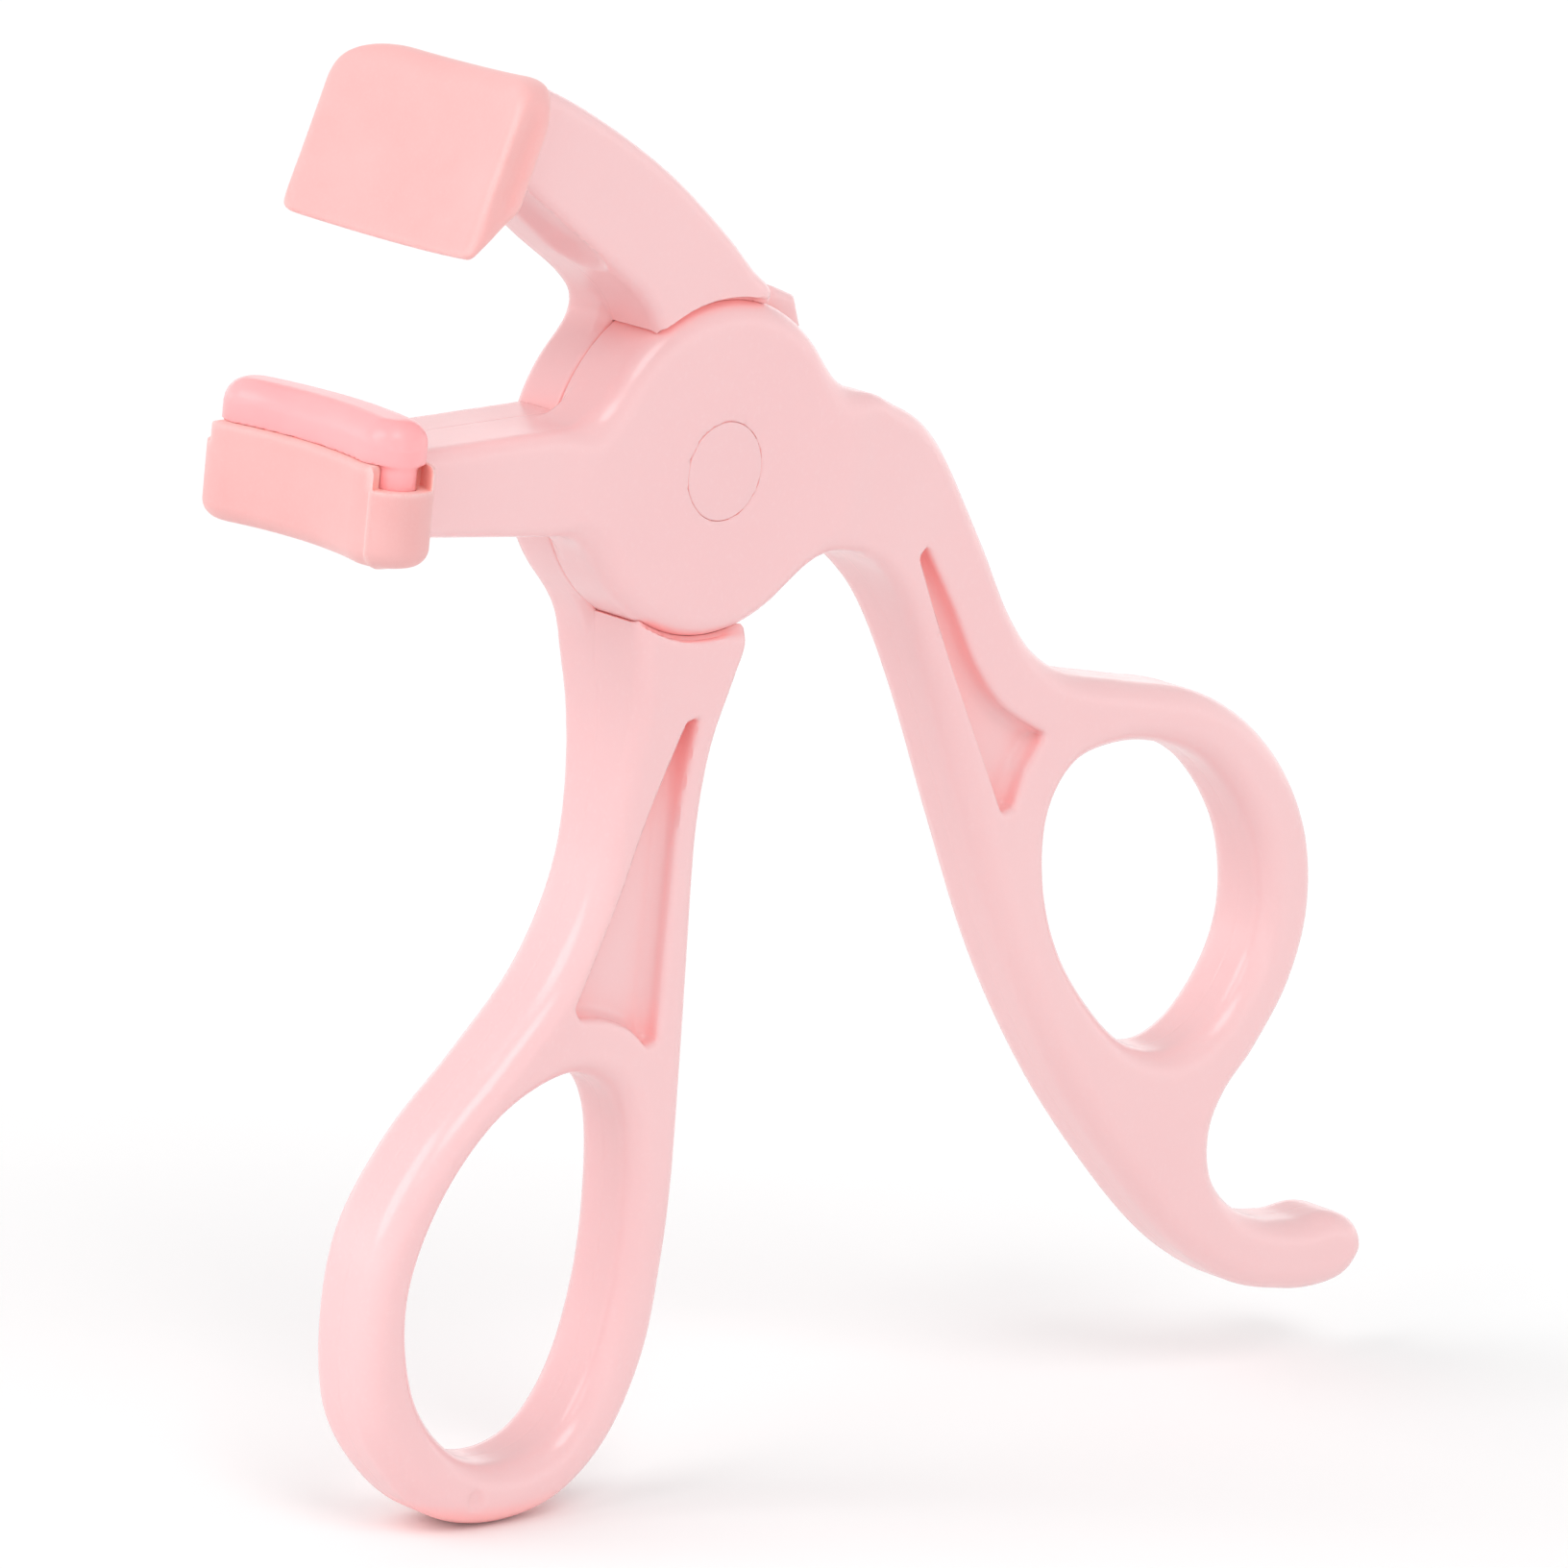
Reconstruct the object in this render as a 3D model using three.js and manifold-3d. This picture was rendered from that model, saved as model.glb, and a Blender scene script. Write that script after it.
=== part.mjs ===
// Scissor-type eyelash curler: two one-piece plastic levers lap-jointed on a round hub, a curved pressing
// head on the rear lever, and a silicone pad in a curved holder on the front lever.
// Millimetres. The origin lies on the pivot axis, where the two halves of the hub meet. +Y runs along the
// pivot axis from front to back, -X points from the hub to the jaws, and +Z is up.
import * as THREE from "three";
import { mergeVertices } from "three/addons/utils/BufferGeometryUtils.js";
import Module from "manifold-3d";

const wasm = await Module();
wasm.setup();

// ---- driving dimensions ----------------------------------------------------------------------------
const HUB_RADIUS = 12;
const HUB_FRONT = -5.5; // front face of the front half of the hub
const HUB_BACK = 4.5; // back face of the rear half of the hub
const HUB_FRONT_EDGE = 2; // bevels of the hub's outer rims
const HUB_BACK_EDGE = 0.7;
const SPLIT_GAP = 0.3; // between the two halves of the hub
const SHOULDER_GAP = 0.35; // radial gap between a half hub and the other lever's shoulders
const ARM_FRONT = -5.2;
const ARM_BACK = 4.4;
const ARM_EDGE = 1;
const LIMB_HALF = 3.35; // half thickness of the handles, along Y
const LIMB_EDGE = 1.7;
const TAPER_END = 28; // the handles thin from the arms' thickness at the hub to their own at this distance
const POCKET_DEPTH = 1.6;
const SEAT_GAP = 0.3; // between pieces that are fastened to each other
const OPEN_ANGLE = THREE.MathUtils.degToRad(19.4); // the upper jaw stands open by this much

const PIN_HEAD = { radius: 3.5, depth: 1.6 };
const PIN_RADIUS = 2.5;
const PIN_SPIGOT = { radius: 1.3, length: 1 };
const CAP_THICKNESS = 1.2;
const RUNNING_CLEARANCE = 0.1;

// The jaws are bands bent about an upright axis in front of them. Heights are those of the closed jaws.
const JAW_AXIS_X = -56.4;
const JAW_Y = -0.2; // middle of the jaws
const JAW_RADIUS = 24.6;
const HOLDER = { halfWidth: 2.9, endY: 7.15, bottom: -3.9, top: 2.9, edge: 0.9 };
const CHANNEL = { halfWidth: 1.7, floor: -0.4 };
const NOTCH = { halfWidth: 2.1, floor: 1.4, fromY: 7.4 }; // the holder's end walls are lower here
const PAD = { halfWidth: 2.35, endY: 6.8, bottom: 3.15, top: 5.9, edge: 1.3 };
const PAD_ROOT = { halfWidth: 1.4, bottom: -0.1 };
const HEAD = {
  front: 24.1, // radius of the concave face
  thickness: 3.3,
  halfLength: 9.5,
  bottom: 6,
  top: 19.3,
  slopeTop: 10.2, // below this height the back face slopes to the pressing edge
  edgeThickness: 0.8,
  corner: 3,
  crown: 2.6, // rounding between the concave face and the top
  backEdge: 0.8,
};
const TONGUE_HALF_WIDTH = 2.6;
const LOWER_TONGUE = { bottom: -2.6, top: -1.4, length: 2.2 };
const UPPER_TONGUE = { bottom: 14, top: 17.4, length: 1.7 };

// ---- outlines in the (x, z) plane ------------------------------------------------------------------
// Handles run clockwise from the hub and back to it, and the openings of their rings anticlockwise.
const RIGHT_HANDLE = [
  [3, 4.9], [13.5, 4.7], [18, 3.4], [22, 1.6], [25.5, -1.6], [30, -7.6], [33.5, -12.8], [36.8, -16.2],
  [41, -18.2], [48, -19.4], [55, -20.6], [61, -23.3], [66, -27.6], [69.3, -33], [70.3, -39], [69, -44.6],
  [66, -49.4], [63.2, -52.6], [62.1, -55.6], [63, -59.2], [66, -62], [70, -63.6], [74, -64.1],
  [78, -63.5], [80.8, -64.6], [81.3, -67], [79.8, -69.1], [77, -69.8], [73, -69.6], [67, -68.2],
  [60, -64.3], [52.5, -57.8], [45, -49.9], [38, -40.4], [32, -29.6], [27, -19.9], [23, -13], [20, -9.6],
  [17, -7.7], [13.5, -6.8], [3, -6.8],
];
const RIGHT_RING = [
  [47, -24], [42.3, -25.2], [40.1, -28.8], [40.6, -34.2], [43, -39.4], [47, -44], [51.5, -47.4],
  [56.5, -48.6], [60.8, -47], [64, -43], [65, -38.6], [63.8, -33.6], [61, -29.5], [57, -26.2], [52, -24.4],
];
const RIGHT_POCKET = [
  [[23, -7.6], [26.5, -12], [29.6, -16.6], [33, -20], [37.6, -22.4]],
  [[36, -24.8], [35.2, -27.4]],
  [[34.4, -27.6], [28, -17], [22.6, -8]],
];
const LEFT_HANDLE = [
  [5.2, 0], [4.8, -11.5], [4.1, -15.5], [3.5, -20], [3.9, -27], [4.4, -36], [4.8, -44], [5.1, -52],
  [4.9, -58], [4, -65], [1.2, -71.2], [-3.3, -75], [-9, -76.1], [-14.5, -75], [-19, -71.8], [-22.4, -67],
  [-23.5, -60.3], [-22.6, -53.5], [-18.7, -47.2], [-13.4, -41.9], [-8.5, -36.4], [-5.7, -30.4], [-4.7, -24],
  [-4.7, -18], [-5.8, -11.4], [-6.4, 0],
];
const LEFT_RING = [
  [-12, -45.8], [-16.3, -50.2], [-18.9, -55.6], [-19.3, -60.6], [-17.5, -66.2], [-13.5, -70.3],
  [-8.8, -71.7], [-4.2, -70.5], [-1.1, -66.4], [0.5, -59.9], [0.6, -53], [-0.3, -47.6], [-2.6, -44.5],
  [-6.5, -43.6],
];
const LEFT_POCKET = [
  [[0.8, -18.2], [0.9, -30], [1, -41.4]],
  [[0.4, -41.6], [-1.4, -40.2], [-3.8, -39.3], [-6.2, -39]],
  [[-6.6, -38.4], [-3, -29.6], [0.2, -18.4]],
];
const UPPER_ARM = [
  [[4.4, 3], [4.2, 11.2], [1.4, 14.2], [-2.4, 17.5], [-7.5, 21.2], [-14, 24.8], [-20.2, 27.4], [-28, 29.6]],
  [[-29, 25], [-21.6, 20.7], [-13.7, 15.6], [-7.4, 10.8], [-5.8, 3]],
];
const LOWER_ARM = [[-31, -3], [-8, -4.3], [-8, 4], [-31, 2.6]];
const STOP_LUG = [[4, 8], [8.6, 11.6], [10.9, 10.8], [11.8, 8.5], [8, 4]];
// The groove in the upper arm's inner face, from the head towards the hub.
const GROOVE = { from: [-26, 23.9], to: [-11.6, 14.8], depth: 2.2, front: -3.6, back: -0.6 };

// ---- geometry helpers ------------------------------------------------------------------------------
const vectors = (points) => points.map(([x, y]) => new THREE.Vector2(x, y));
const polygon = (points) => new THREE.Shape(vectors(points));

function solid(geometry) {
  const bare = geometry.clone();
  bare.deleteAttribute("normal");
  bare.deleteAttribute("uv");
  const merged = mergeVertices(bare, 1e-4);
  return new wasm.Manifold(
    new wasm.Mesh({
      numProp: 3,
      vertProperties: new Float32Array(merged.attributes.position.array),
      triVerts: new Uint32Array(merged.index.array),
    }),
  );
}

function mesh(name, body, material) {
  const { vertProperties, triVerts } = body.getMesh();
  const geometry = new THREE.BufferGeometry();
  geometry.setAttribute("position", new THREE.BufferAttribute(new Float32Array(vertProperties), 3));
  geometry.setIndex(new THREE.BufferAttribute(new Uint32Array(triVerts), 1));
  geometry.computeVertexNormals();
  const made = new THREE.Mesh(geometry, material);
  made.name = name;
  return made;
}

// A shape extruded from low to high along its local z, bevelled along its rims.
function extrusion(shape, low, high, bevel, curveSegments) {
  const geometry = new THREE.ExtrudeGeometry(shape, {
    depth: high - low - 2 * bevel,
    bevelEnabled: bevel > 0,
    bevelThickness: bevel,
    bevelSize: bevel,
    bevelOffset: -bevel,
    bevelSegments: 2,
    curveSegments,
  });
  return geometry.translate(0, 0, low + bevel);
}

// A plate whose shape lies in the (x, z) plane and which reaches from front to back along Y.
function plate(shape, front, back, bevel = 0, curveSegments = 4) {
  return solid(extrusion(shape, -back, -front, bevel, curveSegments).rotateX(Math.PI / 2));
}

// A slab whose shape lies in the (x, y) plane and which reaches from bottom to top along Z.
function slab(shape, bottom, top, bevel = 0) {
  return solid(extrusion(shape, bottom, top, bevel, 16));
}

function block([left, right], [front, back], [bottom, top], turn = 0) {
  const geometry = new THREE.BoxGeometry(right - left, back - front, top - bottom);
  geometry.translate((left + right) / 2, (front + back) / 2, (bottom + top) / 2);
  return solid(geometry.rotateY(turn));
}

function disc(radius, front, back, bevel = 0, curveSegments = 96) {
  return plate(new THREE.Shape().absarc(0, 0, radius, 0, 2 * Math.PI), front, back, bevel, curveSegments);
}

// A smooth closed line through the points.
function loop(points) {
  const corners = points.map(([x, z]) => new THREE.Vector3(x, z, 0));
  const curve = new THREE.CatmullRomCurve3(corners, true, "catmullrom");
  const line = curve.getPoints(points.length * 3).slice(0, -1);
  return line.map(({ x, y }) => new THREE.Vector2(x, y));
}

// A closed line made of smooth stretches that meet at corners.
function corneredLoop(stretches) {
  return stretches.flatMap((points) =>
    new THREE.SplineCurve(vectors(points)).getPoints((points.length - 1) * 3),
  );
}

// A band with round ends, bent about the jaw axis, in the (x, y) plane.
function band(halfWidth, endY, radius = JAW_RADIUS) {
  const reach = Math.asin(endY / radius);
  const endX = JAW_AXIS_X + radius * Math.cos(reach);
  return new THREE.Shape()
    .absarc(JAW_AXIS_X, 0, radius + halfWidth, -reach, reach)
    .absarc(endX, endY, halfWidth, reach, reach + Math.PI)
    .absarc(JAW_AXIS_X, 0, radius - halfWidth, reach, -reach, true)
    .absarc(endX, -endY, halfWidth, Math.PI - reach, 2 * Math.PI - reach);
}

// Everything within a radius of the jaw axis, leant back by turn.
function jawCylinder(radius, turn) {
  const height = 60;
  const geometry = new THREE.CylinderGeometry(radius, radius, height, 128).rotateX(Math.PI / 2);
  return solid(geometry.translate(JAW_AXIS_X, JAW_Y, 0).rotateY(turn));
}

// ---- levers ----------------------------------------------------------------------------------------
// One half of the hub: half of a disc that is twice as thick, so that only its outer rim is bevelled.
function halfHub(split, face, edge) {
  const depth = Math.abs(face - split);
  const whole = disc(HUB_RADIUS, split - depth, split + depth, edge);
  return whole.intersect(disc(HUB_RADIUS + 1, Math.min(split, face), Math.max(split, face)));
}

// A handle with its ring. Its root, between the hub and TAPER_END, is thickened towards the hub. "away" is
// the direction in the (x, z) plane in which the root leaves the hub, and "turn" turns +X into it.
function handle(outline, ring, pocket, away, turn) {
  const shape = new THREE.Shape(corneredLoop([outline]));
  shape.holes.push(new THREE.Path(loop(ring)));
  const limb = plate(shape, -LIMB_HALF, LIMB_HALF, LIMB_EDGE);
  const far = 30;
  const rootZone = (length) => block([0, length], [-far, far], [-far, far], turn);
  const overlap = 0.5;
  const facet = 1.8;
  const root = limb.intersect(rootZone(TAPER_END + overlap)).refineToLength(facet).warp((point) => {
    const distance = point[0] * away[0] + point[2] * away[1];
    const share = THREE.MathUtils.smoothstep(TAPER_END - distance, 0, TAPER_END - HUB_RADIUS);
    const thickness = point[1] < 0 ? -ARM_FRONT : ARM_BACK;
    point[1] *= THREE.MathUtils.lerp(1, thickness / LIMB_HALF, share);
  });
  const recess = new THREE.Shape(corneredLoop(pocket));
  const floor = LIMB_HALF - POCKET_DEPTH;
  return limb
    .subtract(rootZone(TAPER_END))
    .add(root)
    .subtract(plate(recess, ARM_FRONT - 1, -floor))
    .subtract(plate(recess, floor, ARM_BACK + 1));
}

function frontLever() {
  const armEnd = JAW_RADIUS + HOLDER.halfWidth + SEAT_GAP;
  const tongueTip = JAW_AXIS_X + armEnd - LOWER_TONGUE.length;
  const tongue = block(
    [tongueTip, tongueTip + 2 * LOWER_TONGUE.length],
    [JAW_Y - TONGUE_HALF_WIDTH, JAW_Y + TONGUE_HALF_WIDTH],
    [LOWER_TONGUE.bottom, LOWER_TONGUE.top],
  );
  const seatDepth = PIN_HEAD.depth + SEAT_GAP;
  return plate(polygon(LOWER_ARM), ARM_FRONT, ARM_BACK, ARM_EDGE)
    .subtract(jawCylinder(armEnd, 0))
    .add(tongue)
    .add(handle(RIGHT_HANDLE, RIGHT_RING, RIGHT_POCKET, [1, 0], 0))
    .subtract(disc(HUB_RADIUS + SHOULDER_GAP, -SPLIT_GAP / 2, HUB_BACK + 1))
    .add(halfHub(-SPLIT_GAP / 2, HUB_FRONT, HUB_FRONT_EDGE))
    .subtract(disc(PIN_RADIUS + RUNNING_CLEARANCE, HUB_FRONT - 1, 1, 0, 48))
    .subtract(disc(PIN_HEAD.radius + SEAT_GAP, HUB_FRONT - 1, HUB_FRONT + seatDepth, 0, 64));
}

// The slot along the upper arm's inner face.
function groove() {
  const [fromX, fromZ] = GROOVE.from;
  const [toX, toZ] = GROOVE.to;
  const length = Math.hypot(toX - fromX, toZ - fromZ);
  const inward = [-(toZ - fromZ) / length, (toX - fromX) / length];
  const offset = ([x, z], distance) => [x + inward[0] * distance, z + inward[1] * distance];
  const corners = [
    offset(GROOVE.from, -GROOVE.depth), offset(GROOVE.to, -GROOVE.depth), offset(GROOVE.to, GROOVE.depth),
    offset(GROOVE.from, GROOVE.depth),
  ];
  return plate(polygon(corners), GROOVE.front, GROOVE.back);
}

function rearLever() {
  const armEnd = HEAD.front + HEAD.thickness + SEAT_GAP;
  const tongueTip = JAW_AXIS_X + armEnd - UPPER_TONGUE.length;
  const tongue = block(
    [tongueTip, tongueTip + 2 * UPPER_TONGUE.length],
    [JAW_Y - TONGUE_HALF_WIDTH, JAW_Y + TONGUE_HALF_WIDTH],
    [UPPER_TONGUE.bottom, UPPER_TONGUE.top],
    OPEN_ANGLE,
  );
  const capSeat = HUB_BACK - CAP_THICKNESS - SEAT_GAP;
  return plate(new THREE.Shape(corneredLoop(UPPER_ARM)), ARM_FRONT, ARM_BACK, ARM_EDGE)
    .subtract(groove())
    .subtract(jawCylinder(armEnd, OPEN_ANGLE))
    .add(tongue)
    .add(handle(LEFT_HANDLE, LEFT_RING, LEFT_POCKET, [0, -1], Math.PI / 2))
    .subtract(disc(HUB_RADIUS + SHOULDER_GAP, HUB_FRONT - 1, SPLIT_GAP / 2))
    .add(halfHub(SPLIT_GAP / 2, HUB_BACK, HUB_BACK_EDGE))
    .add(plate(polygon(STOP_LUG), SPLIT_GAP / 2, ARM_BACK, ARM_EDGE))
    .subtract(disc(PIN_RADIUS + RUNNING_CLEARANCE, -1, HUB_BACK, 0, 48))
    .subtract(disc(PIN_HEAD.radius + SEAT_GAP, capSeat, HUB_BACK + 1, 0, 64));
}

// ---- pivot -----------------------------------------------------------------------------------------
// The pin and its cap are turned about the pivot axis; profiles are [radius, y] from front to back.
function pivotPin() {
  const shoulder = HUB_FRONT + PIN_HEAD.depth;
  const shankEnd = HUB_BACK - CAP_THICKNESS - SEAT_GAP;
  const tip = shankEnd + PIN_SPIGOT.length;
  const profile = [
    [0, HUB_FRONT], [PIN_HEAD.radius, HUB_FRONT], [PIN_HEAD.radius, shoulder], [PIN_RADIUS, shoulder],
    [PIN_RADIUS, shankEnd], [PIN_SPIGOT.radius, shankEnd], [PIN_SPIGOT.radius, tip], [0, tip],
  ];
  return solid(new THREE.LatheGeometry(vectors(profile), 64));
}

function pivotCap() {
  const front = HUB_BACK - CAP_THICKNESS;
  const socket = PIN_SPIGOT.radius + SEAT_GAP;
  const floor = front + PIN_SPIGOT.length - SEAT_GAP / 2;
  const profile = [
    [0, floor], [socket, floor], [socket, front], [PIN_HEAD.radius, front], [PIN_HEAD.radius, HUB_BACK],
    [0, HUB_BACK],
  ];
  return solid(new THREE.LatheGeometry(vectors(profile), 64));
}

// ---- jaws ------------------------------------------------------------------------------------------
function pressHead() {
  const { front, thickness, edgeThickness, slopeTop, bottom, top, crown, backEdge } = HEAD;
  const { halfLength, corner } = HEAD;
  const profile = new THREE.Shape()
    .moveTo(front, bottom)
    .lineTo(front + edgeThickness, bottom)
    .lineTo(front + thickness, slopeTop)
    .absarc(front + thickness - backEdge, top - backEdge, backEdge, 0, Math.PI / 2)
    .absarc(front + crown, top - crown, crown, Math.PI / 2, Math.PI)
    .lineTo(front, bottom);
  const ring = new THREE.LatheGeometry(profile.getPoints(6), 120)
    .rotateX(Math.PI / 2)
    .translate(JAW_AXIS_X, 0, 0);
  const elevation = new THREE.Shape()
    .moveTo(-halfLength, bottom - 1)
    .lineTo(halfLength, bottom - 1)
    .absarc(halfLength - corner, top - corner, corner, 0, Math.PI / 2)
    .absarc(corner - halfLength, top - corner, corner, Math.PI / 2, Math.PI);
  // The elevation is drawn in (y, z) and reaches from the jaw axis to behind the head, along X.
  const crop = extrusion(elevation, JAW_AXIS_X, 0, 0, 6).rotateX(Math.PI / 2).rotateZ(Math.PI / 2);
  const socket = block(
    [JAW_AXIS_X + front + thickness - UPPER_TONGUE.length, 0],
    [-TONGUE_HALF_WIDTH - SEAT_GAP, TONGUE_HALF_WIDTH + SEAT_GAP],
    [UPPER_TONGUE.bottom - SEAT_GAP, UPPER_TONGUE.top + SEAT_GAP],
  );
  return solid(ring).intersect(solid(crop)).subtract(socket);
}

function padHolder() {
  const { halfWidth, endY, bottom, top, edge } = HOLDER;
  const far = 20;
  const notchEnds = block([JAW_AXIS_X, 0], [NOTCH.fromY, far], [NOTCH.floor, far]).add(
    block([JAW_AXIS_X, 0], [-far, -NOTCH.fromY], [NOTCH.floor, far]),
  );
  const socket = block(
    [JAW_AXIS_X + JAW_RADIUS + halfWidth - LOWER_TONGUE.length, 0],
    [-TONGUE_HALF_WIDTH - SEAT_GAP, TONGUE_HALF_WIDTH + SEAT_GAP],
    [LOWER_TONGUE.bottom - SEAT_GAP, LOWER_TONGUE.top + SEAT_GAP],
  );
  return slab(band(halfWidth, endY), bottom, top + edge, edge)
    .subtract(block([JAW_AXIS_X, 0], [-far, far], [top, far]))
    .subtract(slab(band(CHANNEL.halfWidth, PAD.endY), CHANNEL.floor, far))
    .subtract(slab(band(NOTCH.halfWidth, endY + halfWidth), NOTCH.floor, far).intersect(notchEnds))
    .subtract(socket);
}

function siliconePad() {
  const { halfWidth, endY, bottom, top, edge } = PAD;
  const far = 20;
  return slab(band(halfWidth, endY), 2 * bottom - top, top, edge)
    .subtract(block([JAW_AXIS_X, 0], [-far, far], [-far, bottom]))
    .add(slab(band(PAD_ROOT.halfWidth, endY), PAD_ROOT.bottom, bottom));
}

// ---- assembly --------------------------------------------------------------------------------------
const leverPlastic = new THREE.MeshStandardMaterial({ color: 0xf4c3c5, roughness: 0.28, metalness: 0 });
const pinPlastic = new THREE.MeshStandardMaterial({ color: 0xf2c4c6, roughness: 0.3, metalness: 0 });
const frostedPlastic = new THREE.MeshStandardMaterial({ color: 0xf8cbca, roughness: 0.6, metalness: 0 });
const silicone = new THREE.MeshStandardMaterial({ color: 0xfcbcc2, roughness: 0.35, metalness: 0 });

const lowerJaw = new THREE.Group();
lowerJaw.position.y = JAW_Y;
lowerJaw.add(
  mesh("lower_pad_holder", padHolder(), frostedPlastic),
  mesh("silicone_pad", siliconePad(), silicone),
);
const frontGroup = new THREE.Group();
frontGroup.add(
  mesh("front_lever", frontLever(), leverPlastic),
  mesh("pivot_pin", pivotPin(), pinPlastic),
  mesh("pivot_cap", pivotCap(), pinPlastic.clone()),
  lowerJaw,
);

// The pressing head is made as it stands on the pad, and leant back with the open upper jaw.
const pressHeadMesh = mesh("upper_press_head", pressHead(), frostedPlastic.clone());
pressHeadMesh.rotation.y = OPEN_ANGLE;
pressHeadMesh.position.y = JAW_Y;
const rearGroup = new THREE.Group();
rearGroup.add(mesh("rear_lever", rearLever(), leverPlastic.clone()), pressHeadMesh);

const curler = new THREE.Group();
curler.add(frontGroup, rearGroup);
export default curler;
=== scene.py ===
"""Looks of the scissor-type eyelash curler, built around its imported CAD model.

Every moulded piece is described by a signed distance, in millimetres and in the row frame, and
meshed from it, so that edges, fillets and recesses are as soft as those of a moulded part. +Y runs
along the pivot axis from front to back, -X points to the jaws and +Z is up.
"""
import math

import bpy
import numpy as np
from mathutils import Matrix, Vector


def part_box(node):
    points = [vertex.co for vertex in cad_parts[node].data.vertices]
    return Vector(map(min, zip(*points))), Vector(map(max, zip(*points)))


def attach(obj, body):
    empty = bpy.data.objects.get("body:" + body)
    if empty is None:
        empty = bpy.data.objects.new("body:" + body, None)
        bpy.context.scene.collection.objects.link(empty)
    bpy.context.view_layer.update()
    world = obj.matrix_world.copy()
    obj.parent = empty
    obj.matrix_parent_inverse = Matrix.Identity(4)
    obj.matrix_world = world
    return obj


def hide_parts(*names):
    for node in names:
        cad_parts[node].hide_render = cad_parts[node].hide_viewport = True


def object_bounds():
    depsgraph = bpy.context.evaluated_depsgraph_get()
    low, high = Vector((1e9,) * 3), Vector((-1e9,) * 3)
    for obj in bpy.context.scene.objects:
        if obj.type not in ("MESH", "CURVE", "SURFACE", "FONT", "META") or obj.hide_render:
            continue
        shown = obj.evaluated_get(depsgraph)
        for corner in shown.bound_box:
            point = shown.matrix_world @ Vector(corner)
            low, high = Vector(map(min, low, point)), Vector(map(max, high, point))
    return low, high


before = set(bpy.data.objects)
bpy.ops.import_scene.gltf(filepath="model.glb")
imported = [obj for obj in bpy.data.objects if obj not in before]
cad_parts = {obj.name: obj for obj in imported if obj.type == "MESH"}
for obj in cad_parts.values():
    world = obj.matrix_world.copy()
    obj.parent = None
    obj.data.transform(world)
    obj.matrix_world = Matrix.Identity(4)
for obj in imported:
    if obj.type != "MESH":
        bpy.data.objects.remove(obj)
cad_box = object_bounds()

MM = 0.001

# ---- sizes in millimetres, most of them shared with the CAD model ------------------------------------
HUB_RADIUS = 12
HUB_FRONT, HUB_BACK = -5.5, 4.5
SEAM, SEAM_INSIDE = 0.05, 0.012  # each half of the hub stops this far from the plane where they meet
SHOULDER_RADIUS, LIP, SNUG = 12.15, 0.9, 0.02  # the shoulders close up to the hub behind a lip
LIMB_RIM, FRONT_RIM, REAR_RIM = 2, 1.9, 1.1  # radii on the edges of handles, front hub and the rest
HUB_BLEND = 16  # where the hub's thicker face has run out into the limbs
ARM_FRONT, ARM_BACK = -5.2, 4.4
LIMB_HALF = 3.35
TAPER_END = 28
RING_EDGE = 0.3
POCKET_DEPTH, POCKET_SPREAD, POCKET_FILLET, POCKET_EDGE = 1.6, 0.25, 1.0, 0.6
LUG_RIM, LUG_FILLET = 0.7, 0.4
PARTING_LINE = {"height": 0.02, "half_width": 0.12}
OPEN_ANGLE = math.radians(19.4)
PIN_HEAD_RADIUS, PIN_HEAD_DEPTH = 3.5, 1.6
PIN_RADIUS, SPIGOT_RADIUS, SPIGOT_LENGTH = 2.5, 1.3, 1.0
CAP_THICKNESS = 1.2
SEAT_RADIUS, SEAT_CHAMFER, SEAT_SLOPE, BORE_RADIUS = 3.506, 0.13, 1.8, 2.6

JAW_AXIS_X, JAW_Y, JAW_RADIUS = -56.4, -0.2, 24.6
SUNK = 0.2  # how far each arm runs into the piece it carries
HOLDER = {"half_width": 2.9, "end_y": 7.15, "bottom": -3.9, "top": 2.95}
CHANNEL = {"half_width": 1.45, "floor": -0.4}
NOTCH = {"half_width": 2.1, "floor": 1.4, "from_y": 7.8}
HOLDER_LINE = {"past_notch": 0.4, "height": 0.12, "half_width": 0.2}  # a mould line by the near notch
PAD = {"half_width": 2.35, "end_y": 6.8, "bottom": 2.98, "top": 5.9}
PAD_ROOT = {"half_width": 1.4, "end_y": 7.7, "bottom": -0.3}
HEAD = {"front": 24.1, "thickness": 3.3, "half_length": 9.8, "bottom": 5.95, "top": 19.5}
HEAD_SLOPE_TOP, HEAD_EDGE = 10.2, 0.8
HEAD_CORNER, HEAD_CROWN, HEAD_BACK_EDGE = 4.2, 2.8, 0.8
DISH_DEPTH = 0.6

# ---- outlines in the (x, z) plane --------------------------------------------------------------------
RIGHT_HANDLE = [
    (3, 4.9), (13.5, 4.7), (18, 3.4), (22, 1.6), (25.5, -1.6), (30, -7.6), (33.5, -12.8), (36.8, -16.2),
    (41, -18.2), (48, -19.4), (55, -20.6), (61, -23.3), (66, -27.6), (69.3, -33), (70.3, -39),
    (69, -44.6), (66, -49.4), (63.2, -52.6), (62.1, -55.6), (63, -59.2), (66, -62), (70, -63.6),
    (74, -64.1), (77.6, -63.9), (80.3, -64.9), (81.3, -67), (79.8, -69.1), (77, -69.8), (73, -69.6),
    (67, -68.2), (60, -64.3), (52.5, -57.8), (45, -49.9), (38, -40.4), (32, -29.6), (27, -19.9),
    (23, -13), (20, -9.6), (17, -7.7), (13.5, -6.8), (3, -6.8),
]
RIGHT_RING = [
    (47, -24), (42.3, -25.2), (40.1, -28.8), (40.6, -34.2), (43, -39.4), (47, -44), (51.5, -47.4),
    (56.5, -48.6), (60.8, -47), (64, -43), (65, -38.6), (63.8, -33.6), (61, -29.5), (57, -26.2),
    (52, -24.4),
]
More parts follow.
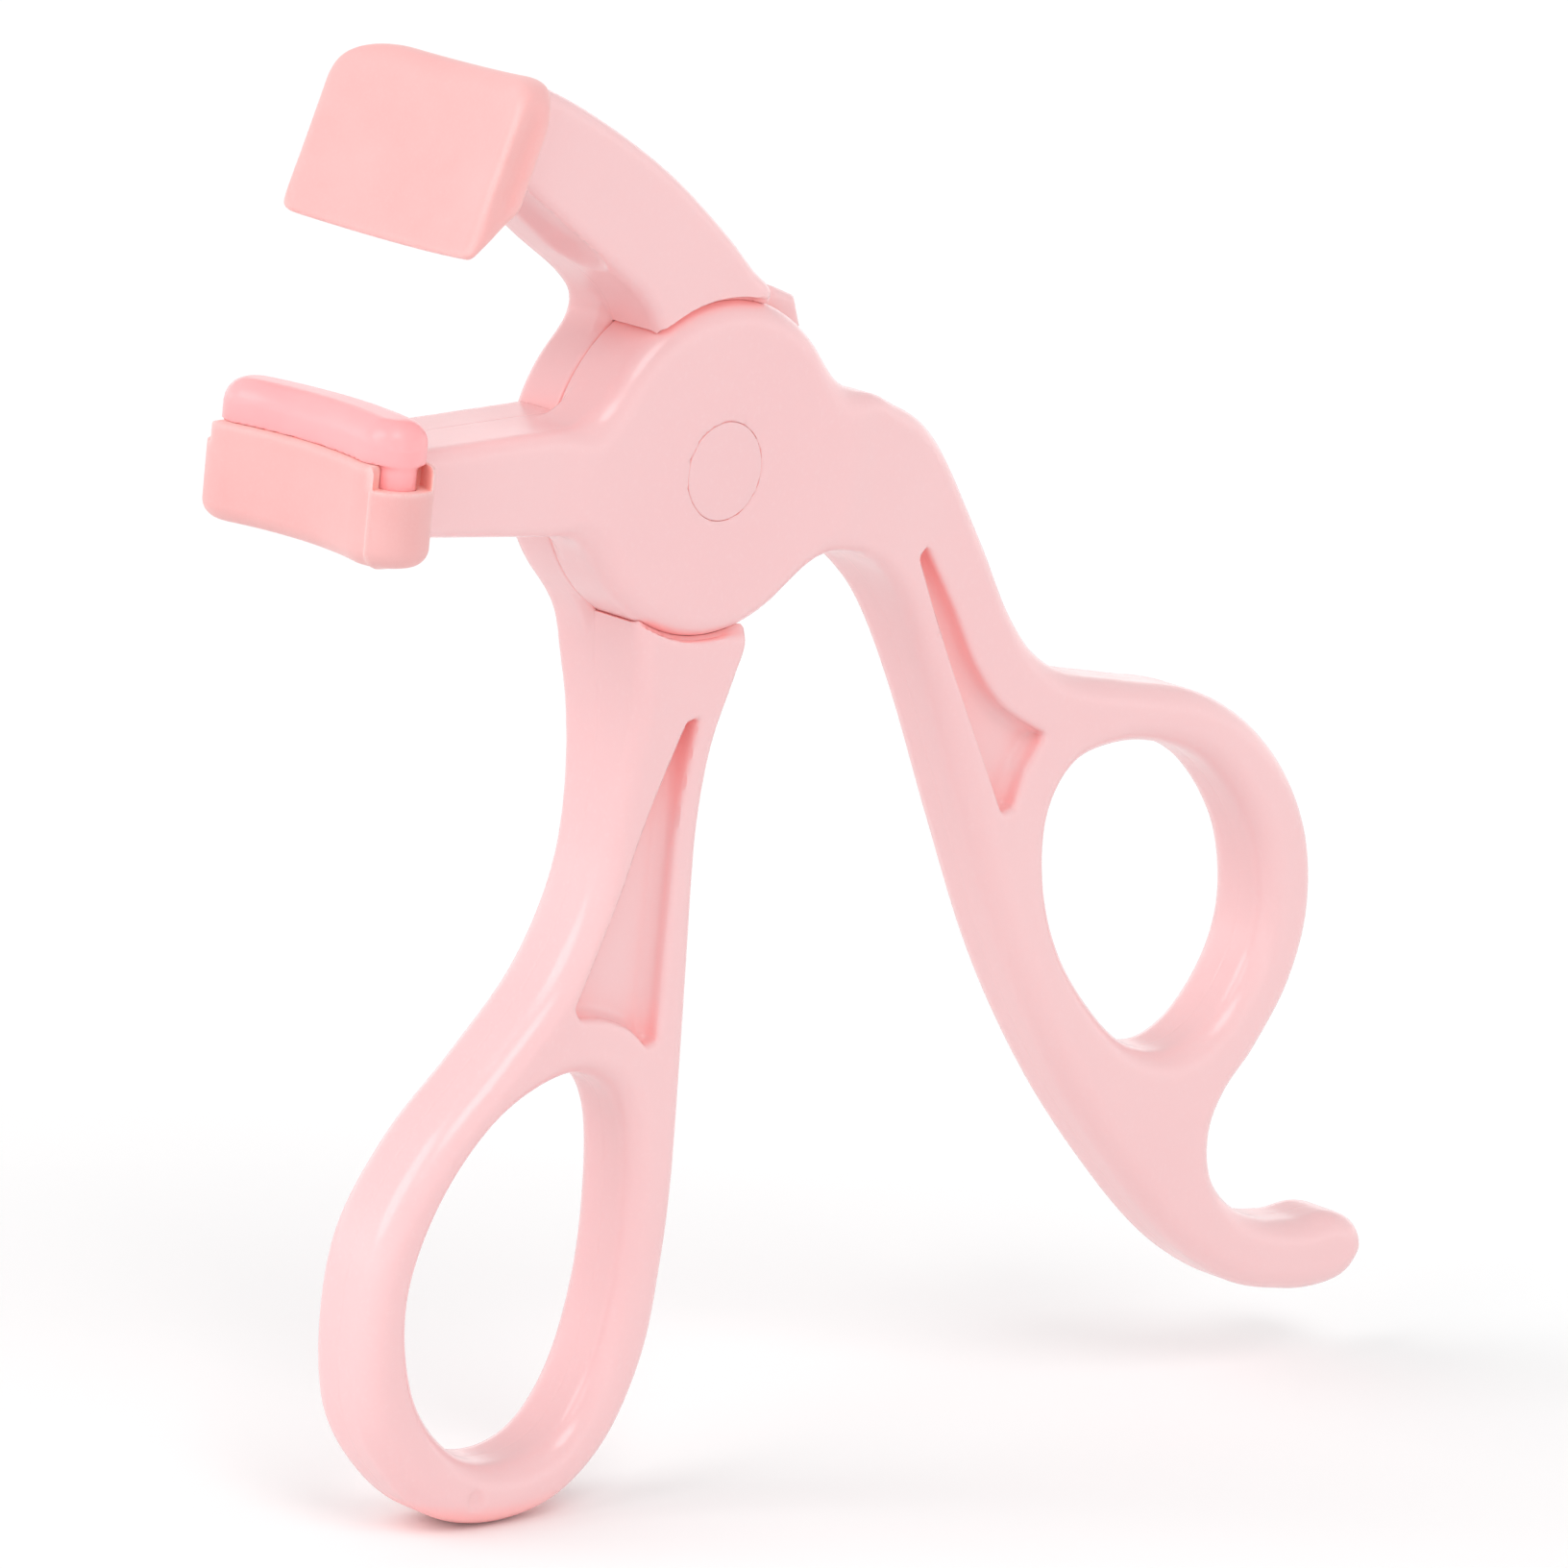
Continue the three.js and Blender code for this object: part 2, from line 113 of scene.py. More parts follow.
RIGHT_POCKET = [
    [(23, -7.6), (26.5, -12), (29.6, -16.6), (33, -20), (37.6, -22.4)],
    [(36, -24.8), (35.2, -27.4)],
    [(34.4, -27.6), (28, -17), (22.6, -8)],
]
LEFT_HANDLE = [
    (5.2, 0), (4.8, -11.5), (4.1, -15.5), (3.5, -20), (3.9, -27), (4.4, -36), (4.8, -44), (5.1, -52),
    (4.9, -58), (4, -65), (1.2, -71.2), (-3.3, -75), (-9, -76.1), (-14.5, -75), (-19, -71.8),
    (-22.4, -67), (-23.5, -60.3), (-22.6, -53.5), (-18.7, -47.2), (-13.4, -41.9), (-8.5, -36.4),
    (-5.7, -30.4), (-4.7, -24), (-4.7, -18), (-5.8, -11.4), (-6.4, 0),
]
LEFT_RING = [
    (-12, -45.8), (-16.3, -50.2), (-18.9, -55.6), (-19.3, -60.6), (-17.5, -66.2), (-13.5, -70.3),
    (-8.8, -71.7), (-4.2, -70.5), (-1.1, -66.4), (0.5, -59.9), (0.6, -53), (-0.3, -47.6), (-2.6, -44.5),
    (-6.5, -43.6),
]
LEFT_POCKET = [
    [(0.8, -18.2), (0.9, -30), (1, -41.4)],
    [(0.4, -41.6), (-1.4, -40.2), (-3.8, -39.3), (-6.2, -39)],
    [(-6.6, -38.4), (-3, -29.6), (0.2, -18.4)],
]
UPPER_ARM = [
    [(4.4, 3), (4.2, 11.2), (1.4, 14.2), (-2.4, 17.5), (-7.5, 21.2), (-14, 24.8), (-20.2, 27.4),
     (-28, 29.6)],
    [(-29, 25), (-21.6, 20.7), (-13.7, 15.6), (-7.4, 10.8), (-5.8, 3)],
]
LOWER_ARM = [[(-31, -3), (-8, -4.3)], [(-8, 4), (-31, 2.6)]]
STOP_LUG = [(4, 8), (8.6, 11.6), (10.9, 10.8), (11.8, 8.5), (7, 4.7)]
GROOVE_FROM, GROOVE_TO = (-26, 23.9), (-11.6, 14.8)
GROOVE_DEPTH, GROOVE_FRONT, GROOVE_BACK, GROOVE_EDGE = 0.65, -4.3, -0.2, 0.3
GATE_MARK = {"x": -12.0, "z": -73.6, "radius": 0.85, "floor_radius": 0.5, "depth": 0.2}


# ---- outlines as fields ------------------------------------------------------------------------------
def smooth_line(points, closed, steps=14):
    """A uniform Catmull-Rom line through the points, as the CAD model draws its outlines."""
    points = np.array(points, float)
    last = len(points) - 1
    spans = len(points) if closed else last
    share = (np.arange(steps) / steps)[:, None]
    line = []
    for i in range(spans):
        near = [i - 1, i, i + 1, i + 2]
        near = [k % len(points) if closed else min(max(k, 0), last) for k in near]
        before, a, b, after = points[near]
        leave, arrive = (b - before) / 2, (after - a) / 2
        line.append(
            (2 * a - 2 * b + leave + arrive) * share**3
            + (-3 * a + 3 * b - 2 * leave - arrive) * share**2
            + leave * share + a
        )
    if not closed:
        line.append(points[-1:])
    return np.concatenate(line)


def cornered_line(stretches):
    """Smooth stretches that meet at corners."""
    return np.concatenate([smooth_line(points, closed=False) for points in stretches])


class Outline:
    """The signed distance to a closed line in a plane, negative inside, kept on a square grid."""

    REACH = 6.0
    STEP = 0.15

    def __init__(self, line, softening=1):
        low = line.min(0) - self.REACH
        size = np.ceil((line.max(0) + self.REACH - low) / self.STEP).astype(int) + 1
        self.low = low
        us = low[0] + self.STEP * np.arange(size[0])
        vs = low[1] + self.STEP * np.arange(size[1])
        squared = np.full(size, self.REACH**2)
        inside = np.zeros(size, bool)
        for a, b in zip(line, np.roll(line, -1, 0)):
            self._nearer(squared, us, vs, a, b)
            self._flip(inside, us, vs, a, b)
        field = np.where(inside, -1, 1) * np.sqrt(squared)
        for _ in range(softening):
            for axis in (0, 1):
                field = (np.roll(field, 1, axis) + 2 * field + np.roll(field, -1, axis)) / 4
        self.field = field

    def _nearer(self, squared, us, vs, a, b):
        """Lowers the squared distance near the segment from a to b."""
        start = np.maximum(((np.minimum(a, b) - self.REACH - self.low) / self.STEP).astype(int), 0)
        end = ((np.maximum(a, b) + self.REACH - self.low) / self.STEP).astype(int) + 1
        u = us[start[0]:end[0], None] - a[0]
        v = vs[None, start[1]:end[1]] - a[1]
        run = b - a
        share = np.clip((u * run[0] + v * run[1]) / max(run @ run, 1e-12), 0, 1)
        found = (u - share * run[0])**2 + (v - share * run[1])**2
        window = squared[start[0]:end[0], start[1]:end[1]]
        np.minimum(window, found, out=window)

    @staticmethod
    def _flip(inside, us, vs, a, b):
        """Turns inside into outside on one side of the segment, for the lines it crosses."""
        crossed = (vs > min(a[1], b[1])) & (vs <= max(a[1], b[1]))
        if crossed.any():
            at = a[0] + (vs[crossed] - a[1]) * (b[0] - a[0]) / (b[1] - a[1])
            inside[:, crossed] ^= us[:, None] < at[None, :]

    def __call__(self, u, v):
        """Cubic interpolation of the field at points of any shape."""
        shape = np.broadcast(u, v).shape
        rows, columns = self.field.shape
        iu = np.clip((np.broadcast_to(u, shape) - self.low[0]) / self.STEP, 1, rows - 3)
        iv = np.clip((np.broadcast_to(v, shape) - self.low[1]) / self.STEP, 1, columns - 3)
        ku, kv = iu.astype(int), iv.astype(int)
        wu, wv = self._weights(iu - ku), self._weights(iv - kv)
        total = 0
        for i in range(4):
            row = sum(wv[j] * self.field[ku + i - 1, kv + j - 1] for j in range(4))
            total = total + wu[i] * row
        return total

    @staticmethod
    def _weights(t):
        return (
            ((2 - t) * t - 1) * t / 2,
            ((3 * t - 5) * t * t + 2) / 2,
            ((4 - 3 * t) * t + 1) * t / 2,
            (t - 1) * t * t / 2,
        )


# ---- signed distances --------------------------------------------------------------------------------
def join(a, b, fillet):
    """The union, with a fillet of about that size where the surfaces meet."""
    share = np.maximum(fillet - np.abs(a - b), 0) / fillet
    return np.minimum(a, b) - share * share * fillet / 4


def cut(a, b, edge):
    """a without b, with its new rims softened."""
    return -join(-a, b, edge)


def common(a, b, edge):
    """The intersection, with the edge where the surfaces meet softened."""
    return -join(-a, -b, edge)


def rounded(a, b, radius):
    """The intersection of two half spaces or prisms, with its edge rounded to the radius."""
    a, b = a + radius, b + radius
    return np.minimum(np.maximum(a, b), 0) + np.hypot(np.maximum(a, 0), np.maximum(b, 0)) - radius


def between(y, front, back):
    """A slab across the pivot axis."""
    return np.abs(y - (front + back) / 2) - (back - front) / 2


def smooth_step(value, low, high):
    """0 at low and beyond, 1 at high and beyond. Low may be the larger of the two."""
    share = np.clip((value - low) / (high - low), 0, 1)
    return share * share * (3 - 2 * share)


def plate(x, y, z, away, plan, front, back, rounding):
    """An extruded plan whose faces are the arms' near the hub and the handles' beyond TAPER_END."""
    share = smooth_step(away, TAPER_END, HUB_RADIUS - 1)
    front = -LIMB_HALF + share * (ARM_FRONT + LIMB_HALF) + front
    back = LIMB_HALF + share * (ARM_BACK - LIMB_HALF) + back
    return rounded(plan, between(y, front, back), rounding)


def limb_rim(away):
    """The radius on a limb's edges, from the arms' near the hub to the handles' beyond TAPER_END."""
    return LIMB_RIM - (LIMB_RIM - REAR_RIM) * smooth_step(away, TAPER_END + 4, HUB_RADIUS)


def pockets(x, y, z, outline):
    """The same pocket in both faces of a handle."""
    floor = LIMB_HALF - POCKET_DEPTH - np.abs(y)
    return rounded(outline(x, z) - POCKET_SPREAD, floor, POCKET_FILLET)


def split_gap(r):
    """How far a lever stops from the split plane: a fine joint at the hub's rim, closed inside."""
    return SEAM_INSIDE + (SEAM - SEAM_INSIDE) * smooth_step(r, HUB_RADIUS - 0.5, HUB_RADIUS - 0.2)


def shoulder(r, depth, rim):
    """The hollow that a half hub turns in. Depth is measured in from its face, whose rim is rounded."""
    to_flank = np.clip(rim - depth, 0, rim)
    snug = HUB_RADIUS - rim + np.sqrt(rim**2 - to_flank**2) + SNUG
    return r - snug - (SHOULDER_RADIUS - snug) * smooth_step(depth, LIP + 0.3, LIP)


def seat(r, depth, length):
    """The pin's bore, widened for its head or cap over that length. Depth is measured from the face."""
    chamfer = np.maximum(SEAT_CHAMFER - depth, 0)
    widened = np.maximum(r - SEAT_RADIUS - SEAT_SLOPE * chamfer, depth - length)
    return np.minimum(widened, r - BORE_RADIUS)


def mould_line(distance, size):
    """The profile of a fine straight mould line, given the distance from its middle."""
    return size["height"] * np.clip(1 - np.abs(distance) / size["half_width"], 0, 1)


def front_lever(x, y, z):
    r = np.hypot(x, z)
    by_hub = smooth_step(r, HUB_BLEND, HUB_RADIUS + 0.3)
    limb = common(right_handle(x, z), -right_ring(x, z), RING_EDGE)
    fillet = 0.1 + 2.9 * smooth_step(y, 0.3, -0.9)
    plan = join(join(lower_arm(x, z), limb, 1), r - HUB_RADIUS, fillet)
    rounding = limb_rim(x)
    rounding = rounding + by_hub * (FRONT_RIM - rounding) * smooth_step(y, 0, -2)
    body = plate(x, y, z, x, plan, by_hub * (HUB_FRONT - ARM_FRONT), 0, rounding)
    body = body + mould_line(y, PARTING_LINE)
    body = cut(body, pockets(x, y, z, right_pocket), POCKET_EDGE)
    body = cut(body, np.maximum(shoulder(r, HUB_BACK - y, REAR_RIM), -split_gap(r) - y), 0.05)
    holder_reach = JAW_RADIUS + HOLDER["half_width"] - SUNK
    body = np.maximum(body, holder_reach - np.hypot(x - JAW_AXIS_X, y - JAW_Y))
    return np.maximum(body, -seat(r, y - HUB_FRONT, PIN_HEAD_DEPTH))


def groove(x, y, z):
    """A scoop along the upper arm's inner face, with a round end."""
    (from_x, from_z), (to_x, to_z) = GROOVE_FROM, GROOVE_TO
    length = math.hypot(from_x - to_x, from_z - to_z)
    along = ((x - to_x) * (from_x - to_x) + (z - to_z) * (from_z - to_z)) / length
    inward = ((z - to_z) * (to_x - from_x) - (x - to_x) * (to_z - from_z)) / length
    half = (GROOVE_BACK - GROOVE_FRONT) / 2
    plan = np.hypot(np.minimum(along - half, 0), y - (GROOVE_FRONT + GROOVE_BACK) / 2)
    radius = (half**2 + GROOVE_DEPTH**2) / (2 * GROOVE_DEPTH)
    return np.hypot(plan, inward + radius - GROOVE_DEPTH) - radius


def gate_mark(x, y, z):
    """The shallow round scar on the left ring's front, where the plastic was let into the mould."""
    away = np.hypot(x - GATE_MARK["x"], z - GATE_MARK["z"])
    hollow = smooth_step(away, GATE_MARK["radius"], GATE_MARK["floor_radius"])
    return GATE_MARK["depth"] * hollow * smooth_step(y, 0, -1)


def rear_lever(x, y, z):
    r = np.hypot(x, z)
    limb = common(left_handle(x, z), -left_ring(x, z), RING_EDGE)
    limbs = join(upper_arm(x, z), limb, 1)
    fillet = 0.1 + 2.4 * smooth_step(y, -0.3, 0.9)
    plan = join(limbs, r - HUB_RADIUS, fillet)
    hub_rise = smooth_step(r, HUB_BLEND, HUB_RADIUS) * (HUB_BACK - ARM_BACK)
    body = plate(x, y, z, -z, plan, 0, hub_rise, limb_rim(-z))
    body = body + mould_line(y, PARTING_LINE)
    body = cut(body, groove(x, y, z), GROOVE_EDGE)
    body = cut(body, pockets(x, y, z, left_pocket), POCKET_EDGE)
    lug = rounded(stop_lug(x, z), between(y, SEAM, ARM_BACK), LUG_RIM)
    body = np.maximum(join(body, lug, LUG_FILLET), y - HUB_BACK)
    body = body + gate_mark(x, y, z)
    hollow = np.maximum(shoulder(r, y - HUB_FRONT, FRONT_RIM), y - split_gap(r))
    body = cut(body, hollow, 0.3 + 1.5 * smooth_step(x, 1.5, 5))
    closed_x, _ = closed_jaw(x, z)
    head_reach = HEAD["front"] + HEAD["thickness"] - SUNK
    body = np.maximum(body, head_reach - np.hypot(closed_x - JAW_AXIS_X, y - JAW_Y))
    return np.maximum(body, -seat(r, HUB_BACK - y, CAP_THICKNESS))


def closed_jaw(x, z):
    """Where a point of the open upper jaw lies once the jaw is closed."""
    cosine, sine = math.cos(OPEN_ANGLE), math.sin(OPEN_ANGLE)
    return x * cosine - z * sine, x * sine + z * cosine


def dish(off_middle, height):
    """How far the head's end walls are hollowed, fading out towards their rims."""
    along = smooth_step(height, 18, 15) * smooth_step(height, 7.5, 11)
    return DISH_DEPTH * smooth_step(off_middle, 1.5, 0.1) * along


def press_head(x, y, z):
    closed_x, height = closed_jaw(x, z)
    radius = np.hypot(closed_x - JAW_AXIS_X, y - JAW_Y)
    off_middle = np.abs(radius - HEAD["front"] - HEAD["thickness"] / 2)
    end = np.abs(y - JAW_Y) - HEAD["half_length"] + dish(off_middle, height)
    ends_and_top = rounded(end, height - HEAD["top"], HEAD_CORNER)
    return common(head_section(radius, height), ends_and_top, 1.3)


def head_profile():
    """The head's section from its concave face, as (distance from the jaw axis, closed height)."""
    front, bottom, top = HEAD["front"], HEAD["bottom"], HEAD["top"]
    back = front + HEAD["thickness"]
    crown = [
        (front + HEAD_CROWN - HEAD_CROWN * math.cos(t), top - HEAD_CROWN + HEAD_CROWN * math.sin(t))
        for t in np.linspace(0, math.pi / 2, 12)
    ]
    back_edge = [
        (back - HEAD_BACK_EDGE + HEAD_BACK_EDGE * math.sin(t),
         top - HEAD_BACK_EDGE + HEAD_BACK_EDGE * math.cos(t))
        for t in np.linspace(0, math.pi / 2, 8)
    ]
    slope_down = [(back, HEAD_SLOPE_TOP), (front + HEAD_EDGE, bottom)]
    return np.array([(front, bottom)] + crown + back_edge + slope_down)


def band(x, y, half_width, end_y):
    """The distance in plan to a band with round ends, bent about the jaw axis."""
    u, v = x - JAW_AXIS_X, np.abs(y - JAW_Y)
    reach = math.asin(end_y / JAW_RADIUS)
    along_band = np.abs(np.hypot(u, v) - JAW_RADIUS)
    to_end = np.hypot(u - JAW_RADIUS * math.cos(reach), v - end_y)
    return np.where(np.arctan2(v, u) < reach, along_band, to_end) - half_width


def pad_holder(x, y, z):
    plan = band(x, y, HOLDER["half_width"], HOLDER["end_y"])
    body = rounded(plan, HOLDER["bottom"] - z, 1.3)
    body = common(body, z - HOLDER["top"], 0.5)
    channel_plan = band(x, y, CHANNEL["half_width"], PAD_ROOT["end_y"])
    channel = rounded(channel_plan, CHANNEL["floor"] - z, 0.3)
    notch_plan = band(x, y, NOTCH["half_width"], HOLDER["end_y"] + 4)
    notch = np.maximum(notch_plan, NOTCH["from_y"] - np.abs(y - JAW_Y))
    body = cut(body, channel, 0.3)
    body = cut(body, rounded(notch, NOTCH["floor"] - z, 0.15), 0.2)
    off_line = y - JAW_Y + NOTCH["from_y"] + HOLDER_LINE["past_notch"]
    return body - mould_line(off_line, HOLDER_LINE) * (z < NOTCH["floor"])


def silicone_pad(x, y, z):
    bolster = rounded(band(x, y, PAD["half_width"], PAD["end_y"]), z - PAD["top"], 1.7)
    bolster = rounded(bolster, PAD["bottom"] - z, 0.12)
    root = np.maximum(band(x, y, PAD_ROOT["half_width"], PAD_ROOT["end_y"]), z - PAD["bottom"] - 1)
    return join(bolster, np.maximum(root, PAD_ROOT["bottom"] - z), 0.4)


right_handle = Outline(cornered_line([RIGHT_HANDLE]))
right_ring = Outline(smooth_line(RIGHT_RING, closed=True))
right_pocket = Outline(cornered_line(RIGHT_POCKET))
left_handle = Outline(cornered_line([LEFT_HANDLE]))
left_ring = Outline(smooth_line(LEFT_RING, closed=True))
left_pocket = Outline(cornered_line(LEFT_POCKET))
upper_arm = Outline(cornered_line(UPPER_ARM))
lower_arm = Outline(cornered_line(LOWER_ARM))
stop_lug = Outline(np.array(STOP_LUG, float))
head_section = Outline(head_profile(), softening=4)


# ---- meshing -----------------------------------------------------------------------------------------
def stations(low, high, step, close=()):
    """Grid stations along an axis, closer together in each zone given as (from, to, step)."""
    places = np.arange(low, high + step, step)
    for start, end, gap in close:
        places = places[(places < start - gap / 2) | (places > end + gap / 2)]
        places = np.concatenate([places, np.arange(start, end + gap / 2, gap)])
    return np.sort(places)


def slope(distance, points, nudge=0.01):
    """The distance at the points, and its gradient."""
    x, y, z = points.T
    gradient = np.stack([
        distance(x + nudge, y, z) - distance(x - nudge, y, z),
        distance(x, y + nudge, z) - distance(x, y - nudge, z),
        distance(x, y, z + nudge) - distance(x, y, z - nudge),
    ], 1) / (2 * nudge)
    return distance(x, y, z), gradient


def crossings(field, axes):
    """Where the grid's edges cross the zero surface, and the four cells round each of them as a quad."""
    inside = field < 0
    points, rings = [], []
    for axis in range(3):
        u, v = (axis + 1) % 3, (axis + 2) % 3
        lower, upper = [slice(None)] * 3, [slice(None)] * 3
        lower[axis], upper[axis] = slice(0, -1), slice(1, None)
        lower, upper = tuple(lower), tuple(upper)
        edge = np.argwhere(inside[lower] != inside[upper])
        first, second = field[lower][tuple(edge.T)], field[upper][tuple(edge.T)]
        point = np.stack([axes[k][edge[:, k]] for k in range(3)], 1)
        gap = axes[axis][edge[:, axis] + 1] - axes[axis][edge[:, axis]]
        point[:, axis] += gap * first / (first - second)
        points.append(point)
        ring = []
        for du, dv in ((0, 0), (1, 0), (1, 1), (0, 1)):
            cell = edge.copy()
            cell[:, u] -= du
            cell[:, v] -= dv
            ring.append(np.ravel_multi_index(tuple(cell.T), field.shape))
        ring = np.stack(ring, 1)
        rings.append(np.where((first < 0)[:, None], ring, ring[:, ::-1]))
    return np.concatenate(points), np.concatenate(rings)


def surface(distance, axes):
    """The zero surface as quads, one vertex a cell, placed where the planes at its crossings meet."""
    shape = tuple(len(axis) for axis in axes)
    field = np.broadcast_to(distance(*np.ix_(*axes)), shape)
    points, rings = crossings(field, axes)
    value, gradient = slope(distance, points)
    steepness = np.maximum(np.linalg.norm(gradient, axis=1), 0.3)
    normals = gradient / steepness[:, None]
    points = points - normals * np.clip(value / steepness, -0.1, 0.1)[:, None]

    cells, faces = np.unique(rings, return_inverse=True)
    faces = faces.reshape(rings.shape)
    each = faces.ravel()

    def gathered(values):
        return np.bincount(each, np.repeat(values, 4), len(cells))

    count = gathered(np.ones(len(points)))
    middle = np.stack([gathered(points[:, k]) for k in range(3)], 1) / count[:, None]
    planes = np.empty((len(cells), 3, 3))
    for i in range(3):
        for j in range(3):
            planes[:, i, j] = gathered(normals[:, i] * normals[:, j]) / count
    offset = (normals * points).sum(1)
    pull = np.stack([gathered(normals[:, k] * offset) for k in range(3)], 1) / count[:, None]
    pull -= np.einsum("nij,nj->ni", planes, middle)
    shift = np.linalg.solve(planes + 0.04 * np.eye(3), pull[:, :, None])[:, :, 0]
    low = np.stack([axes[k][np.unravel_index(cells, shape)[k]] for k in range(3)], 1)
    high = np.stack([axes[k][np.unravel_index(cells, shape)[k] + 1] for k in range(3)], 1)
    return np.clip(middle + shift, low, high), faces


def finished(name, mesh):
    """The mesh as an object in the scene, smooth but for its sharp edges."""
    mesh.validate()
    mesh.shade_smooth()
    mesh.set_sharp_from_angle(angle=math.radians(42))
    made = bpy.data.objects.new(name, mesh)
    bpy.context.scene.collection.objects.link(made)
    return made


def make_mesh(name, vertices, faces):
    """A smooth object from vertices in millimetres and faces of one size."""
    mesh = bpy.data.meshes.new(name)
    corners = faces.shape[1]
    mesh.vertices.add(len(vertices))
    mesh.vertices.foreach_set("co", (vertices * MM).astype(np.float32).ravel())
    mesh.loops.add(faces.size)
    mesh.loops.foreach_set("vertex_index", faces.ravel().astype(np.int32))
    mesh.polygons.add(len(faces))
    mesh.polygons.foreach_set("loop_start", np.arange(0, faces.size, corners, dtype=np.int32))
    mesh.update(calc_edges=True)
    return finished(name, mesh)


def moulded(name, distance, node, step, close_y=()):
    """A piece meshed from its distance within the box of the CAD node it stands for."""
    low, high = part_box(node)
    margin = 0.8
    bounds = [(a / MM - margin, b / MM + margin) for a, b in zip(low, high)]
    close = ((), close_y, ())
    axes = [stations(a, b, step, zones) for (a, b), zones in zip(bounds, close)]
    return make_mesh(name, *surface(distance, axes))


def turned(name, profile, segments=96):
    """A piece turned about the pivot axis. The profile is (radius, y), axis to axis, front to back."""
    ring = np.linspace(0, 2 * math.pi, segments, endpoint=False)
    body = profile[1:-1]
    vertices = [(0, profile[0][1], 0)]
    for radius, y in body:
        vertices += [(radius * math.cos(t), y, radius * math.sin(t)) for t in ring]
    vertices.append((0, profile[-1][1], 0))
    last = len(vertices) - 1
    faces = []
    for i in range(segments):
        k = (i + 1) % segments
        faces.append((0, 1 + k, 1 + i, 1 + i))
        for row in range(len(body) - 1):
            a, b = 1 + row * segments, 1 + (row + 1) * segments
            faces.append((a + i, a + k, b + k, b + i))
        a = 1 + (len(body) - 1) * segments
        faces.append((last, a + i, a + k, a + k))
    places = [tuple(MM * c for c in vertex) for vertex in vertices]
    corners = [tuple(dict.fromkeys(face)) for face in faces]
    mesh = bpy.data.meshes.new(name)
    mesh.from_pydata(places, [], corners)
    return finished(name, mesh)


# ---- materials ---------------------------------------------------------------------------------------
SCATTER_TINT = (1.0, 0.75, 0.7)  # red light travels furthest inside the plastic


class Finish:
    """A node material under construction. Sizes of patterns are in millimetres on the piece."""

    def __init__(self, name):
        self.material = bpy.data.materials.new(name)
        self.material.use_nodes = True
        self.nodes = self.material.node_tree.nodes
        self.links = self.material.node_tree.links
        self.shader = self.nodes["Principled BSDF"]
        self.place = self.nodes.new("ShaderNodeTexCoord").outputs["Object"]

    def put(self, socket, value):
        if isinstance(value, bpy.types.NodeSocket):
            self.links.new(value, socket)
        elif socket.type == "RGBA":
            socket.default_value = (*value, 1)
        else:
            socket.default_value = value

    def noise(self, size, detail=2.0, roughness=0.5, stretch=(1, 1, 1)):
        mapping = self.nodes.new("ShaderNodeMapping")
        self.put(mapping.inputs["Vector"], self.place)
        self.put(mapping.inputs["Scale"], stretch)
        noise = self.nodes.new("ShaderNodeTexNoise")
        self.put(noise.inputs["Vector"], mapping.outputs["Vector"])
        self.put(noise.inputs["Scale"], 1 / (size * MM))
        self.put(noise.inputs["Detail"], detail)
        self.put(noise.inputs["Roughness"], roughness)
        return noise.outputs["Fac"]

    def scaled(self, value, low, high, bottom, top):
        """The value taken from the range low to high on to the range bottom to top."""
        scaling = self.nodes.new("ShaderNodeMapRange")
        for name, number in zip(("From Min", "From Max", "To Min", "To Max"), (low, high, bottom, top)):
            self.put(scaling.inputs[name], number)
        self.put(scaling.inputs["Value"], value)
        return scaling.outputs["Result"]

    def blended(self, share, first, second):
        """A colour between two, or one colour laid over another by the share."""
        mix = self.nodes.new("ShaderNodeMix")
        mix.data_type = "RGBA"
        self.put(mix.inputs[0], share)
        self.put(mix.inputs[6], first)
        self.put(mix.inputs[7], second)
        return mix.outputs[2]

    def edges(self, width, low, high):
        """1 on convex edges and 0 on flats, from a bevelled normal compared with the true one."""
        bevel = self.nodes.new("ShaderNodeBevel")
        bevel.samples = 4
        self.put(bevel.inputs["Radius"], width * MM)
        geometry = self.nodes.new("ShaderNodeNewGeometry")
        turn = self.nodes.new("ShaderNodeVectorMath")
        turn.operation = "DOT_PRODUCT"
        self.links.new(bevel.outputs["Normal"], turn.inputs[0])
        self.links.new(geometry.outputs["Normal"], turn.inputs[1])
        return self.scaled(turn.outputs["Value"], high, low, 0, 1)

    def painted_crease_glow(self, tint, reach, painted_glow):
        """Painted glow and shade: the colour, turned towards the glow where the piece or its neighbours
        stand close round it.
        """
        occlusion = self.nodes.new("ShaderNodeAmbientOcclusion")
        occlusion.samples = 8
        self.put(occlusion.inputs["Distance"], reach * MM)
        return self.blended(self.scaled(occlusion.outputs["AO"], 0.92, 0.3, 0, 1), tint, painted_glow)

    def bumps(self, *layers):
        """Stacks bumps given as (height, depth in millimetres)."""
        normal = None
        for height, depth in layers:
            bump = self.nodes.new("ShaderNodeBump")
            self.put(bump.inputs["Height"], height)
            self.put(bump.inputs["Distance"], depth * MM)
            if normal:
                self.links.new(normal, bump.inputs["Normal"])
            normal = bump.outputs["Normal"]
        self.links.new(normal, self.shader.inputs["Normal"])

    def sheen_of(self, roughness_low, roughness_high, factor):
        roughness = self.scaled(factor, 0.3, 0.7, roughness_low, roughness_high)
        self.put(self.shader.inputs["Roughness"], roughness)

    def body(self, ior, scatter, scatter_radius):
        """Light that goes into the plastic and comes out a little redder nearby."""
        self.put(self.shader.inputs["IOR"], ior)
        self.put(self.shader.inputs["Subsurface Weight"], scatter)
        self.shader.inputs["Subsurface Radius"].default_value = SCATTER_TINT
        self.put(self.shader.inputs["Subsurface Scale"], scatter_radius * MM)


